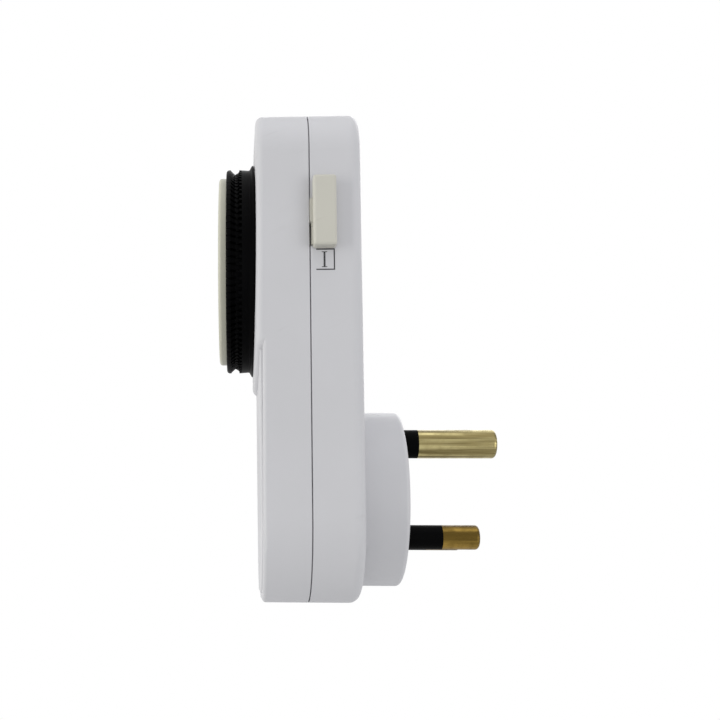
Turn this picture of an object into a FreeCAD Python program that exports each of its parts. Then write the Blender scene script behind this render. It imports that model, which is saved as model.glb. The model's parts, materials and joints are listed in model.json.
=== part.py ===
"""Plug-in 24 hour timer with a round three-pin plug. Every piece is its own solid, in millimetres.

+X points at the wall, -X at the user and +Z up. The origin is the centre of the round plug face.
The side with the override slider is at -Y.
"""
import FreeCAD, Part
import math
import os

os.makedirs("parts", exist_ok=True)
V = FreeCAD.Vector

# Housing
HALF_WIDTH = 34.5
TOP_Z = 112.2
BOTTOM_Z = -30.8
TOP_CORNER_R = 15.0
BOTTOM_CORNER_R = 23.5
WALL = 2.2
BACK_X = -13.2
SEAM_X = -27.9
SEAM_GAP = 0.35
TONGUE_WALL = 1.1
TONGUE_LENGTH = 1.5
BACK_ROUND = 3.0
# The front steps forward from a narrow strip to a crowned plateau, and again round the dial.
STRIP_X = -41.2
STRIP_WIDTH = 2.5
STRIP_ROUND = 1.1
PLATEAU_STEP = 0.9
PLATEAU_TILT = -0.4
PLATEAU_CROWN_R = 3000.0
SURROUND_STEP = 2.3
SURROUND_TILT = 0.3
SURROUND_CROWN_R = 1500.0
FRONT_ROUND = 2.0
FACE_WALL = 3.5
LIP_Z = 32.8
LIP_RISE = 8.2
LIP_CORNER_R = 3.0

# Plug and socket: round pins, earth above live and neutral
BOSS_R = 26.2
BOSS_ROUND = 1.2
BOSS_FACE_WALL = 2.5
EARTH_Z = 16.8
LINE_DROP = 28.6
LINE_SPREAD = 25.4
EARTH_D = 8.71
EARTH_LENGTH = 30.0
EARTH_COLLAR = 6.5
LINE_D = 7.06
LINE_LENGTH = 21.2
LINE_SLEEVE = 10.6
PIN_TIP_ROUND = 1.1
SLEEVE_WALL = 0.85
SLEEVE_INSET = 0.02
SLEEVE_STEP = 0.45
SLEEVE_RECESS = 0.3
DISH_DEPTH = 1.5
DISH_R = 22.4
DISH_SLOPE = 3.7
HOLE_CLEARANCE = 0.36
HOLE_COLLAR_WALL = 1.6
HOLE_COLLAR_LENGTH = 4.7
BLOCK_THICK = 3.1
BLOCK_MARGIN = 0.4
BLOCK_TOP_DROP = 12.5
BLOCK_BAR = 9.0
SOCKET_SCREW_Y = 19.5
SOCKET_SCREW_DROP = 18.5
WEDGE_LENGTH = 8.0
CONTACT_CLEARANCE = 0.06
CONTACT_WALL = 0.8
LINE_CONTACT_LENGTH = 13.5
EARTH_CONTACT_LENGTH = 12.5
CONTACT_SLIT = 0.9
CARRIER_THICK = 4.7
RIVET_HEAD = 1.0
RIVET_LIP = 0.5

# Dial
DIAL_Z = 71.1
RING_R = 31.5
RIM_WIDTH = 2.5
FLANGE_LIP = 1.2
SKIRT_STEP = 0.3
SKIRT_GAP = 0.4
WELL_MARGIN = 0.5
WELL_DEPTH = 0.3
FLANGE_GAP = 0.1
FLANGE_THICK = 0.8
LAND_WIDTH = 3.55
GROOVE_WIDTH = 2.6
HEAD_THICK = 1.3
SKIRT_DEPTH = 4.9
GROOVE_DEPTH = 1.0
PLATE_THICK = 2.35
PLATE_ROUND = 0.9
WEB_THICK = 2.0
RING_WALL = 1.7
TAPPETS = 96
TAPPET_DEPTH = 1.0
TAPPET_WIDTH = 1.2
TAPPET_TRAVEL = 1.5
HEAD_SPLIT = 0.2
POST_R = 3.0
HUB_WALL = 2.4
CAP_R = 9.0
SHIFTING_TAPPETS = (3, 4, 5, 6, 11, 12, 13, 14)

# Gear train
MODULE = 0.5
DIAL_TEETH = 90
IDLER_PINION_TEETH = 15
IDLER_TEETH = 60
OUTPUT_TEETH = 12
GEAR_THICK = 2.0
WHEEL_THICK = 1.4
GEAR_BACKLASH = 0.14
IDLER_ANGLE = -60.0
OUTPUT_ANGLE = 120.0
AXLE_R = 0.8
OUTPUT_SHAFT_R = 1.5

# Chassis and motor
CHASSIS_THICK = 2.0
CHASSIS_GAP = 0.8
CHASSIS_FOOT_Z = 28.5
MOTOR_R = 18.0
MOTOR_DEPTH = 11.0
MOTOR_PLATE = 0.8
MOTOR_OFFSET_Y = 2.0
MOTOR_OFFSET_Z = 4.8
CAN_WALL = 0.7
DRIVE_GAP = 0.2
ROTOR_R = 5.8
BOBBIN_GAP = 0.7
BOBBIN_WALL = 0.8
BOBBIN_MARGIN = 2.5
WINDING_MARGIN = 4.5

# Follower lever and contacts
LEVER_ANGLE = 215.0
LEVER_WIDTH = 3.0
LEVER_NOSE_ARM = 8.4
LEVER_CONTACT_ARM = 11.0
LEVER_HUB_R = 2.0
LEVER_PIVOT_BACK = 3.7
STRAP_THICK = 0.8
STRAP_WIDTH = 4.5
CONTACT_TIP_R = 1.5
CONTACT_TIP_THICK = 0.7
CONTACT_OPENING = 2.0

# Override slider
CAP_BACK_X = -20.65
CAP_WIDTH = 6.45
CAP_BOTTOM_Z = 67.95
CAP_HEIGHT = 20.25
CAP_STAND = 4.0
CAP_ROUND = 0.8
CAP_FOOT = 0.4
CAP_FOOT_STAND = 0.7
SLIDER_TRAVEL = 6.4
SLOT_WIDTH = 3.7
STEM_LENGTH = 6.8
SLOT_TOP_DROP = 5.8

# Fasteners
SCREW_R = 1.35
SCREW_HEAD_R = 2.5
SCREW_HEAD = 2.0
SCREW_RECESS = 2.8
SMALL_SCREW_R = 1.0
SMALL_HEAD_R = 1.9
SMALL_HEAD = 1.3
BOSS_TUBE_R = 3.6
PILLAR_R = 2.5
TOP_SCREW_ANGLE = 52.2
TOP_SCREW_GAP = 1.0
LOW_SCREW_Y = 23.4
LOW_SCREW_RISE = 12.8

# Clearances
RUN = 0.06
SEAT = 0.05
SIDE_GAP = 0.3

# Places worked out from the sizes above
seam_front_x = SEAM_X - SEAM_GAP / 2
seam_back_x = SEAM_X + SEAM_GAP / 2
plateau_x = STRIP_X - PLATEAU_STEP
surround_x = STRIP_X - SURROUND_STEP
low_inner_x = STRIP_X + WALL - 0.2
well_x = surround_x + WELL_DEPTH
upper_inner_x = well_x + FACE_WALL
back_inner_x = BACK_X - WALL

flange_back_x = well_x - FLANGE_GAP
flange_front_x = flange_back_x - FLANGE_THICK
land_back_x = flange_front_x - 0.7
land_front_x = flange_front_x - LAND_WIDTH
rib_front_x = land_front_x - GROOVE_DEPTH
head_back_x = land_front_x - GROOVE_WIDTH
ring_front_x = head_back_x - HEAD_THICK
web_front_x = ring_front_x + 0.1
plate_front_x = web_front_x - PLATE_THICK
skirt_back_x = well_x + SKIRT_DEPTH
gear_front_x = skirt_back_x + TAPPET_TRAVEL + 0.4
gear_back_x = gear_front_x + GEAR_THICK
wheel_front_x = gear_back_x + SIDE_GAP
wheel_back_x = wheel_front_x + WHEEL_THICK
chassis_front_x = wheel_back_x + CHASSIS_GAP - 0.2
chassis_back_x = chassis_front_x + CHASSIS_THICK
can_front_x = chassis_back_x + MOTOR_PLATE
can_back_x = can_front_x + MOTOR_DEPTH

plate_r = RING_R - RIM_WIDTH
flange_r = RING_R + FLANGE_LIP
skirt_r = RING_R - SKIRT_STEP
opening_r = skirt_r + SKIRT_GAP
well_r = flange_r + WELL_MARGIN
slot_inner_r = plate_r + 0.1
slot_outer_r = slot_inner_r + TAPPET_DEPTH + 4 * RUN
tappet_inner_r = slot_inner_r + RUN
tappet_outer_r = tappet_inner_r + TAPPET_DEPTH
tappet_step = 360.0 / TAPPETS
lever_r = (tappet_inner_r + tappet_outer_r) / 2

dial_yz = (0.0, DIAL_Z)
earth_yz = (0.0, EARTH_Z)
line_z = EARTH_Z - LINE_DROP
live_yz = (-LINE_SPREAD / 2, line_z)
neutral_yz = (LINE_SPREAD / 2, line_z)
motor_yz = (MOTOR_OFFSET_Y, DIAL_Z + MOTOR_OFFSET_Z)


def polar(centre, radius, angle):
    """The point at a radius and an angle in degrees (from +Y towards +Z) round a centre."""
    turn = math.radians(angle)
    return (centre[0] + radius * math.cos(turn), centre[1] + radius * math.sin(turn))


idler_yz = polar(dial_yz, MODULE * (DIAL_TEETH + IDLER_PINION_TEETH) / 2, IDLER_ANGLE)
output_yz = polar(idler_yz, MODULE * (IDLER_TEETH + OUTPUT_TEETH) / 2, OUTPUT_ANGLE)
drive_r = MOTOR_R - CAN_WALL - DRIVE_GAP - math.dist(output_yz, motor_yz)
bobbin_r = ROTOR_R + BOBBIN_GAP + BOBBIN_WALL

earth_r = EARTH_D / 2
line_r = LINE_D / 2
earth_hole_r = earth_r + HOLE_CLEARANCE
line_hole_r = line_r + HOLE_CLEARANCE
socket_face_x = plateau_x + DISH_DEPTH
collar_back_x = socket_face_x + HOLE_COLLAR_LENGTH
shutter_front_x = collar_back_x + SIDE_GAP
shutter_back_x = shutter_front_x + 1.5
block_front_x = shutter_back_x + SIDE_GAP
block_back_x = block_front_x + BLOCK_THICK
line_contact_front_x = block_front_x + 0.6
line_contact_back_x = line_contact_front_x + LINE_CONTACT_LENGTH
earth_contact_front_x = shutter_front_x + WEDGE_LENGTH + 1.9
earth_contact_back_x = earth_contact_front_x + EARTH_CONTACT_LENGTH
carrier_back_x = -BOSS_FACE_WALL
carrier_front_x = carrier_back_x - CARRIER_THICK
pin_strap_x = carrier_front_x - STRAP_THICK
shutter_travel = 2 * line_hole_r + 0.6
spring_seat_z = EARTH_Z - 10.0

top_screw_r = opening_r + BOSS_TUBE_R + TOP_SCREW_GAP
top_screws = [polar(dial_yz, top_screw_r, angle) for angle in (180 - TOP_SCREW_ANGLE, TOP_SCREW_ANGLE)]
low_screws = [(side * LOW_SCREW_Y, BOTTOM_Z + LOW_SCREW_RISE) for side in (-1, 1)]
chassis_screws = [(-11.5, CHASSIS_FOOT_Z + 3.5), (26.0, CHASSIS_FOOT_Z + 3.5)]
socket_screws = [(side * SOCKET_SCREW_Y, EARTH_Z - SOCKET_SCREW_DROP) for side in (-1, 1)]
motor_screws = [(motor_yz[0] + side * (MOTOR_R + 2.5), motor_yz[1]) for side in (-1, 1)]

cap_front_x = CAP_BACK_X - CAP_WIDTH
cap_top_z = CAP_BOTTOM_Z + CAP_HEIGHT
slot_top_z = cap_top_z - SLOT_TOP_DROP
slot_bottom_z = slot_top_z - STEM_LENGTH - SLIDER_TRAVEL - 0.4
inner_half = HALF_WIDTH - WALL
carriage_face_y = -inner_half + 0.25
carriage_inner_y = carriage_face_y + 1.75

lever_yz = polar(dial_yz, lever_r, LEVER_ANGLE)
lever_y = lever_yz[0]
nose_z = lever_yz[1]
pivot_z = nose_z - LEVER_NOSE_ARM
pivot_x = skirt_back_x + LEVER_PIVOT_BACK + 0.3
contact_z = pivot_z - LEVER_CONTACT_ARM
lug_inner = LEVER_WIDTH / 2 + SIDE_GAP
window_low_z = pivot_z - 8.5
window_top_z = pivot_z + 4.0
spring_top_z = pivot_z - 1.5
arm_front_x = pivot_x + 0.1
arm_back_x = arm_front_x + 1.2
blade_front_x = arm_front_x - 0.5
tip_front_x = blade_front_x - CONTACT_TIP_THICK
fixed_face_x = tip_front_x - CONTACT_OPENING
fixed_strap_x = fixed_face_x - 0.8

feed_x = back_inner_x - 4.1
load_x = feed_x - 4.8
strap_edge_y = carriage_inner_y + 3.0
load_y = (strap_edge_y, strap_edge_y + STRAP_WIDTH)
feed_y = (load_y[1] + 1.8, load_y[1] + 1.8 + STRAP_WIDTH)
terminal_z = (CAP_BOTTOM_Z - 11.7, CAP_BOTTOM_Z - 7.2)
blade_z = (CAP_BOTTOM_Z - 5.1, CAP_BOTTOM_Z - 0.9)


def save(name, *solids):
    """Write one node as a STEP file, as one solid or as a group of separate solids."""
    shape = solids[0] if len(solids) == 1 else Part.makeCompound(list(solids))
    shape.exportStep("parts/" + name + ".step")


def box(x, y, z):
    """A box from three (low, high) pairs."""
    return Part.makeBox(x[1] - x[0], y[1] - y[0], z[1] - z[0], V(x[0], y[0], z[0]))


def rod(yz, radius, x_low, x_high):
    """A round bar along X."""
    return Part.makeCylinder(radius, x_high - x_low, V(x_low, yz[0], yz[1]), V(1, 0, 0))


def tube(yz, outer, inner, x_low, x_high):
    """A round tube along X."""
    return rod(yz, outer, x_low, x_high).cut(rod(yz, inner, x_low - 1, x_high + 1))


def join(*shapes):
    """One solid out of touching or overlapping shapes."""
    return shapes[0].fuse(list(shapes[1:])).removeSplitter()


def outline(inset, x_low, x_high):
    """The housing's rounded outline, drawn in by an inset, as a prism along X."""
    half = HALF_WIDTH - inset
    top = TOP_Z - inset
    bottom = BOTTOM_Z + inset
    top_r = TOP_CORNER_R - inset
    low_r = BOTTOM_CORNER_R - inset
    corners = [
        (half - top_r, top - top_r, top_r, 0),
        (-half + top_r, top - top_r, top_r, 90),
        (-half + low_r, bottom + low_r, low_r, 180),
        (half - low_r, bottom + low_r, low_r, 270),
    ]
    edges = []
    last = None
    first = None
    for y, z, radius, start in corners:
        points = [polar((y, z), radius, start + turn) for turn in (0, 45, 90)]
        ends = [V(x_low, p[0], p[1]) for p in points]
        if last is not None:
            edges.append(Part.makeLine(last, ends[0]))
        edges.append(Part.Arc(*ends).toShape())
        first = first or ends[0]
        last = ends[2]
    edges.append(Part.makeLine(last, first))
    return Part.Face(Part.Wire(edges)).extrude(V(x_high - x_low, 0, 0))


def edges_at(shape, x):
    """The edges of a shape that lie wholly in the plane at x."""
    found = []
    for edge in shape.Edges:
        low, high = edge.BoundBox.XMin, edge.BoundBox.XMax
        if abs(low - x) < 1e-4 and abs(high - x) < 1e-4:
            found.append(edge)
    return found


def crowned(front_x, radius, tilt):
    """A tall round body whose near side is the front's gentle crown."""
    tall = 2 * (TOP_Z - BOTTOM_Z)
    body = Part.makeCylinder(radius, tall, V(front_x + radius, 0, -tall / 2), V(0, 0, 1))
    body.rotate(V(front_x, 0, LIP_Z), V(0, 1, 0), tilt)
    return body


def revolve(points, centre):
    """Turn a closed outline of (x, radius) points round an axis along X."""
    loop = [V(centre_x, centre[0] + radius, centre[1]) for centre_x, radius in points]
    face = Part.Face(Part.makePolygon(loop + loop[:1]))
    return face.revolve(V(0, centre[0], centre[1]), V(1, 0, 0), 360)


def flat_plate(points, x_low, x_high):
    """A plate along X from an outline of (y, z) points."""
    loop = [V(x_low, y, z) for y, z in points]
    return Part.Face(Part.makePolygon(loop + loop[:1])).extrude(V(x_high - x_low, 0, 0))


def side_plate(points, y_low, y_high):
    """A plate along Y from an outline of (x, z) points."""
    loop = [V(x, y_low, z) for x, z in points]
    return Part.Face(Part.makePolygon(loop + loop[:1])).extrude(V(0, y_high - y_low, 0))


def wire_run(points, radius):
    """A round wire of straight runs joined by tangent arcs."""
    path = [V(*p) for p in points]
    edges = []
    start = path[0]
    for before, corner, after in zip(path, path[1:], path[2:]):
        back = (before - corner).normalize()
        on = (after - corner).normalize()
        half_turn = (math.pi - back.getAngle(on)) / 2
        shorter = min((before - corner).Length, (after - corner).Length)
        reach = 0.45 * shorter
        bend_r = reach / math.tan(half_turn)
        enter = corner + back * reach
        leave = corner + on * reach
        centre = corner + (back + on).normalize() * (bend_r / math.cos(half_turn))
        middle = centre + (corner - centre).normalize() * bend_r
        edges.append(Part.makeLine(start, enter))
        edges.append(Part.Arc(enter, middle, leave).toShape())
        start = leave
    edges.append(Part.makeLine(start, path[-1]))
    spine = Part.Wire(edges)
    section = Part.Wire([Part.makeCircle(radius, path[0], path[1] - path[0])])
    return spine.makePipeShell([section], True, False)


def gear(teeth, yz, x_low, x_high, phase):
    """An involute spur gear along X. A tooth's centre stands at the phase angle."""
    pitch_r = MODULE * teeth / 2
    pressure = math.radians(20)
    base_r = pitch_r * math.cos(pressure)
    tip_r = pitch_r + 0.9 * MODULE
    root_r = pitch_r - 1.25 * MODULE
    thick = math.pi * MODULE / 2 - GEAR_BACKLASH / 2

    def half_angle(radius):
        slope = math.acos(min(1.0, base_r / radius))
        grown = math.tan(slope) - slope
        return thick / (2 * pitch_r) + math.tan(pressure) - pressure - grown

    low_r = max(base_r, root_r)
    steps = [root_r] if base_r > root_r else []
    steps += [low_r + (tip_r - low_r) * i / 3 for i in range(4)]
    points = []
    for tooth in range(teeth):
        middle = math.radians(phase) + 2 * math.pi * tooth / teeth
        flank = [(r, half_angle(max(r, base_r))) for r in steps]
        for r, half in flank:
            points.append((r, middle - half))
        for r, half in reversed(flank):
            points.append((r, middle + half))
    loop = [(yz[0] + r * math.cos(a), yz[1] + r * math.sin(a)) for r, a in points]
    return flat_plate(loop, x_low, x_high)


def screw(yz, shank_r, head_r, head_x, head, tip_x):
    """A pan head screw driven towards -X, with a cross slot. Its head sits on the plane head_x."""
    body = join(rod(yz, head_r, head_x, head_x + head), rod(yz, shank_r, tip_x, head_x))
    outer = edges_at(body, head_x + head)
    body = body.makeFillet(head * 0.35, outer)
    for across, along in ((head_r * 0.25, head_r * 1.3), (head_r * 1.3, head_r * 0.25)):
        slot = box(
            (head_x + head * 0.5, head_x + head + 1),
            (yz[0] - across / 2, yz[0] + across / 2),
            (yz[1] - along / 2, yz[1] + along / 2),
        )
        body = body.cut(slot)
    return body


def front_shell():
    """The front half of the housing, with the dial's seat, the lip under it and the socket's dish."""
    base = outline(0, STRIP_X, seam_front_x)
    base = base.makeFillet(STRIP_ROUND, edges_at(base, STRIP_X))
    lip_r = (HALF_WIDTH ** 2 + LIP_RISE ** 2) / (2 * LIP_RISE)
    deep = STRIP_ROUND + 0.7
    surround = outline(0, surround_x - 2, STRIP_X + deep)
    surround = surround.common(crowned(surround_x, SURROUND_CROWN_R, SURROUND_TILT))
    surround = surround.common(rod((0, LIP_Z + lip_r), lip_r, surround_x - 3, STRIP_X + 3))
    corners = [
        edge
        for edge in surround.Edges
        if edge.BoundBox.YLength < 1e-3 and edge.BoundBox.ZLength < 1e-3
        and abs(edge.BoundBox.ZMax - LIP_Z - LIP_RISE) < 0.1
    ]
    surround = surround.makeFillet(LIP_CORNER_R, corners)
    rim = [edge for edge in surround.Edges if edge.BoundBox.XMax < STRIP_X - 0.5]
    surround = surround.makeFillet(FRONT_ROUND, rim)
    plateau = outline(STRIP_WIDTH, plateau_x - 2, STRIP_X + 0.5)
    plateau = plateau.common(crowned(plateau_x, PLATEAU_CROWN_R, PLATEAU_TILT))
    plateau = plateau.common(box((-90, 0), (-90, 90), (BOTTOM_Z, LIP_Z + LIP_RISE + 4)))
    front = [edge for edge in plateau.Edges if edge.BoundBox.XMax < STRIP_X - 0.2
             and edge.BoundBox.ZMax < LIP_Z + LIP_RISE + 3.9]
    plateau = plateau.makeFillet(0.6, front)
    body = join(base, surround, plateau)

    hollow = outline(WALL, low_inner_x, 0)
    hollow_top = outline(WALL, upper_inner_x, 0)
    hollow_top = hollow_top.common(box((-90, 0), (-90, 90), (LIP_Z + LIP_RISE + WALL, TOP_Z)))
    pocket_half = HALF_WIDTH - STRIP_WIDTH - 3.5
    pocket_z = (EARTH_Z + 6.0, LIP_Z + LIP_RISE + WALL + 1.0)
    hollow_mid = box((upper_inner_x + 0.2, 0), (-pocket_half, pocket_half), pocket_z)
    body = body.cut([hollow, hollow_top, hollow_mid])
    body = body.cut(rod(dial_yz, well_r, surround_x - 5, well_x))
    body = body.cut(rod(dial_yz, opening_r, surround_x - 5, 0))
    rebate_x = seam_front_x - TONGUE_LENGTH - 0.1
    body = body.cut(outline(TONGUE_WALL - SEAT, rebate_x, 0))

    rise = DISH_DEPTH + 0.4
    rim_r = DISH_R + rise * DISH_SLOPE
    body = body.cut(Part.makeCone(DISH_R, rim_r, rise, V(socket_face_x, 0, 0), V(-1, 0, 0)))
    holes = [(earth_yz, earth_hole_r), (live_yz, line_hole_r), (neutral_yz, line_hole_r)]
    for yz, radius in holes:
        body = body.fuse(rod(yz, radius + HOLE_COLLAR_WALL, socket_face_x, collar_back_x))
    posts = [(yz, BOSS_TUBE_R, chassis_front_x, SCREW_R, upper_inner_x) for yz in top_screws]
    posts += [(yz, BOSS_TUBE_R, seam_front_x, SCREW_R, low_inner_x) for yz in low_screws]
    posts += [(yz, PILLAR_R, chassis_front_x, SMALL_SCREW_R, upper_inner_x) for yz in chassis_screws]
    posts += [(yz, 2.0, block_front_x, SMALL_SCREW_R, low_inner_x) for yz in socket_screws]
    for yz, radius, end_x, hole_r, root_x in posts:
        body = body.fuse(rod(yz, radius, root_x - 0.5, end_x))
    for yz, radius, end_x, hole_r, root_x in posts:
        body = body.cut(rod(yz, hole_r + SEAT, root_x + 0.4, 0))
    for yz, radius in holes:
        body = body.cut(rod(yz, radius, surround_x - 5, 0))
    return body.removeSplitter()


def rear_shell():
    """The rear half of the housing with the hollow plug boss and the screw tubes."""
    body = outline(0, seam_back_x, BACK_X)
    body = body.makeFillet(BACK_ROUND, edges_at(body, BACK_X))
    boss = rod((0, 0), BOSS_R, BACK_X - 1, 0)
    boss = boss.makeFillet(BOSS_ROUND, edges_at(boss, 0))
    body = join(body, boss)
    tongue = outline(TONGUE_WALL, seam_front_x - TONGUE_LENGTH, seam_back_x + 1)
    body = body.fuse(tongue)
    body = body.cut(outline(WALL, SEAM_X - 9, back_inner_x))
    body = body.cut(rod((0, 0), BOSS_R - WALL, back_inner_x - 1, -BOSS_FACE_WALL))
    tubes = [(yz, chassis_back_x) for yz in top_screws] + [(yz, SEAM_X) for yz in low_screws]
    for yz, end_x in tubes:
        body = body.fuse(rod(yz, BOSS_TUBE_R, end_x, back_inner_x + 0.5))
    for yz, end_x in tubes:
        body = body.cut(rod(yz, SCREW_R + 0.25, end_x - 1, 0))
        body = body.cut(rod(yz, SCREW_HEAD_R + 0.3, BACK_X - SCREW_RECESS, 0))
    collars = [(earth_yz, earth_r), (live_yz, line_r), (neutral_yz, line_r)]
    for yz, radius in collars:
        hole_r = radius - SLEEVE_INSET + SEAT
        body = body.cut(rod(yz, hole_r - SLEEVE_STEP, -BOSS_FACE_WALL - 1, 0))
        body = body.cut(rod(yz, hole_r, -SLEEVE_RECESS, 1))
    slot_z = (slot_bottom_z, slot_top_z)
    slot_x = (SEAM_X - 3, seam_front_x + SLOT_WIDTH)
    body = body.cut(box(slot_x, (-HALF_WIDTH - 1, -inner_half + 0.1), slot_z))
    return body.removeSplitter()


def dial_ring():
    """The black ring that carries the tappets: web, wall, dust flange, groove and hub."""
    inner = slot_inner_r - RING_WALL
    hub_r = POST_R + HUB_WALL
    bore_r = POST_R + RUN
    flange = [
        (skirt_back_x, skirt_r),
        (flange_back_x, skirt_r),
        (flange_back_x, flange_r),
        (flange_front_x + 0.3, flange_r),
        (land_back_x + 0.3, RING_R - 0.1),
        (land_back_x, RING_R - 0.2),
        (land_front_x, RING_R),
    ]
    cove = []
    for turn in (30, 60, 90):
        angle = math.radians(turn)
        sink = (RING_R - slot_outer_r) * math.sin(angle)
        cove.append((land_front_x - GROOVE_DEPTH * (1 - math.cos(angle)), RING_R - sink))
    inside = [
        (rib_front_x, slot_inner_r),
        (web_front_x, slot_inner_r),
        (web_front_x, bore_r),
        (gear_front_x, bore_r),
        (gear_front_x, hub_r),
        (web_front_x + WEB_THICK, hub_r),
        (web_front_x + WEB_THICK, inner),
        (skirt_back_x, inner),
    ]
    body = revolve(flange + cove + inside, dial_yz)
    half = TAPPET_WIDTH / 2 + RUN
    cutters = []
    for index in range(TAPPETS):
        long_slot = box(
            (ring_front_x - 1, 0),
            (dial_yz[0] + slot_inner_r, dial_yz[0] + slot_outer_r),
            (DIAL_Z - half, DIAL_Z + half),
        )
        open_slot = box(
            (ring_front_x - 1, land_front_x + TAPPET_TRAVEL - 0.8),
            (dial_yz[0] + slot_inner_r, dial_yz[0] + flange_r),
            (DIAL_Z - half, DIAL_Z + half),
        )
        for cutter in (long_slot, open_slot):
            cutter.rotate(V(0, dial_yz[0], DIAL_Z), V(1, 0, 0), (index + 0.5) * tappet_step)
            cutters.append(cutter)
    return body.cut(cutters)


def tappet(index):
    """One quarter hour tappet: a stem in its slot and a wider head in the front rim."""
    inner = dial_yz[0] + tappet_inner_r
    outer = dial_yz[0] + tappet_outer_r
    rim = dial_yz[0] + RING_R
    stem = box(
        (head_back_x, skirt_back_x), (inner, outer),
        (DIAL_Z - TAPPET_WIDTH / 2, DIAL_Z + TAPPET_WIDTH / 2),
    )
    flare_points = [
        (head_back_x, outer - 0.2),
        (head_back_x, rim - 0.1),
        (head_back_x + 0.45, rim - 0.62),
        (head_back_x + GROOVE_WIDTH / 2, outer - 0.01),
        (head_back_x + GROOVE_WIDTH / 2, outer - 0.2),
    ]
    loop = [V(x, y, DIAL_Z - TAPPET_WIDTH / 2) for x, y in flare_points]
    flare = Part.Face(Part.makePolygon(loop + loop[:1])).extrude(V(0, 0, TAPPET_WIDTH))
    head_points = [
        (ring_front_x, inner),
        (ring_front_x, rim - 0.7),
        (ring_front_x + 0.2, rim - 0.25),
        (ring_front_x + 0.7, rim),
        (head_back_x, rim),
        (head_back_x, inner),
    ]
    half = math.radians(tappet_step / 2)
    wide = RING_R * math.tan(half)
    loop = [V(x, y, DIAL_Z - wide) for x, y in head_points]
    head = Part.Face(Part.makePolygon(loop + loop[:1])).extrude(V(0, 0, 2 * wide))
    near = tappet_inner_r - 0.5
    far = RING_R + 0.5
    wedge = [
        V(ring_front_x - 1, dial_yz[0] + near, DIAL_Z - near * math.tan(half) + HEAD_SPLIT / 2),
        V(ring_front_x - 1, dial_yz[0] + far, DIAL_Z - far * math.tan(half) + HEAD_SPLIT / 2),
        V(ring_front_x - 1, dial_yz[0] + far, DIAL_Z + far * math.tan(half) - HEAD_SPLIT / 2),
        V(ring_front_x - 1, dial_yz[0] + near, DIAL_Z + near * math.tan(half) - HEAD_SPLIT / 2),
    ]
    head = head.common(Part.Face(Part.makePolygon(wedge + wedge[:1])).extrude(V(5, 0, 0)))
    body = join(stem, flare, head)
    body.rotate(V(0, dial_yz[0], DIAL_Z), V(1, 0, 0), (index + 0.5) * tappet_step)
    return body


def number_plate():
    """The cream face in front of the ring, with a rounded edge and a hole for the hub cap."""
    body = rod(dial_yz, plate_r, plate_front_x, web_front_x)
    body = body.makeFillet(PLATE_ROUND, edges_at(body, plate_front_x))
    return body.cut(rod(dial_yz, CAP_R + SIDE_GAP, plate_front_x - 1, web_front_x + 1))


def dial_gear():
    """The dial's driving gear, seated on the end of the ring's hub."""
    hub_r = POST_R + HUB_WALL + SEAT
    body = gear(DIAL_TEETH, dial_yz, gear_front_x, gear_back_x, IDLER_ANGLE)
    body = join(body, rod(dial_yz, hub_r + 2, gear_front_x - 2, gear_back_x))
    body = body.cut(rod(dial_yz, hub_r, gear_front_x - 3, gear_front_x))
    return body.cut(rod(dial_yz, POST_R + RUN, gear_front_x - 3, gear_back_x + 1))


def idler_gear():
    """The two-step idler: its pinion turns the dial gear, its wheel is turned by the motor."""
    gap_phase = IDLER_ANGLE + 180 + 180.0 / IDLER_PINION_TEETH
    pinion = gear(IDLER_PINION_TEETH, idler_yz, gear_front_x, wheel_front_x + 0.4, gap_phase)
    wheel = gear(IDLER_TEETH, idler_yz, wheel_front_x, wheel_back_x, OUTPUT_ANGLE)
    body = join(pinion, wheel)
    return body.cut(rod(idler_yz, AXLE_R + RUN, gear_front_x - 1, wheel_back_x + 1))


def output_pinion():
    """The motor's output: pinion in front of the chassis, shaft, and drive wheel in the can."""
    gap_phase = OUTPUT_ANGLE + 180 + 180.0 / OUTPUT_TEETH
    pinion = gear(OUTPUT_TEETH, output_yz, wheel_front_x, wheel_back_x + 0.4, gap_phase)
    shaft = rod(output_yz, OUTPUT_SHAFT_R, wheel_back_x, can_front_x + 1.2)
    drive = rod(output_yz, drive_r, can_front_x + 0.3, can_front_x + 1.2)
    return join(pinion, shaft, drive)


def chassis_plate():
    """The plate between dial and motor, with the lugs of the follower lever."""
    body = outline(WALL + 0.8, chassis_front_x, chassis_back_x)
    body = body.common(box((-90, 0), (-90, 90), (CHASSIS_FOOT_Z, TOP_Z)))
    notch_z = EARTH_Z + 8.0 + shutter_travel + 1.0
    body = body.cut(box((-90, 0), (-4, 4), (0, notch_z)))
    lug_x = (pivot_x - LEVER_HUB_R, chassis_front_x)
    lug_z = (pivot_z - LEVER_HUB_R, pivot_z + LEVER_HUB_R)
    body = body.cut(
        box((-90, 0), (lever_y - lug_inner, lever_y + lug_inner), (window_low_z, window_top_z))
    )
    body = body.fuse(box(lug_x, (lever_y - lug_inner - 2, lever_y - lug_inner), lug_z))
    body = body.fuse(box(lug_x, (lever_y + lug_inner, lever_y + lug_inner + 2), lug_z))
    pin_hole = Part.makeCylinder(
        AXLE_R + 0.01, 20, V(pivot_x, lever_y - 10, pivot_z), V(0, 1, 0)
    )
    body = body.cut(pin_hole)
    body = body.fuse(rod(idler_yz, 2.0, wheel_back_x + 0.1, chassis_front_x))
    body = body.cut(rod(idler_yz, AXLE_R, -90, 0))
    body = body.cut(rod(dial_yz, 2.0, -90, 0))
    body = body.cut(rod(output_yz, OUTPUT_SHAFT_R + 0.1, -90, 0))
    for yz in top_screws:
        body = body.cut(rod(yz, SCREW_R + 0.25, -90, 0))
    for yz in chassis_screws + motor_screws:
        body = body.cut(rod(yz, SMALL_SCREW_R + SEAT, -90, 0))
    return body.removeSplitter()


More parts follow.
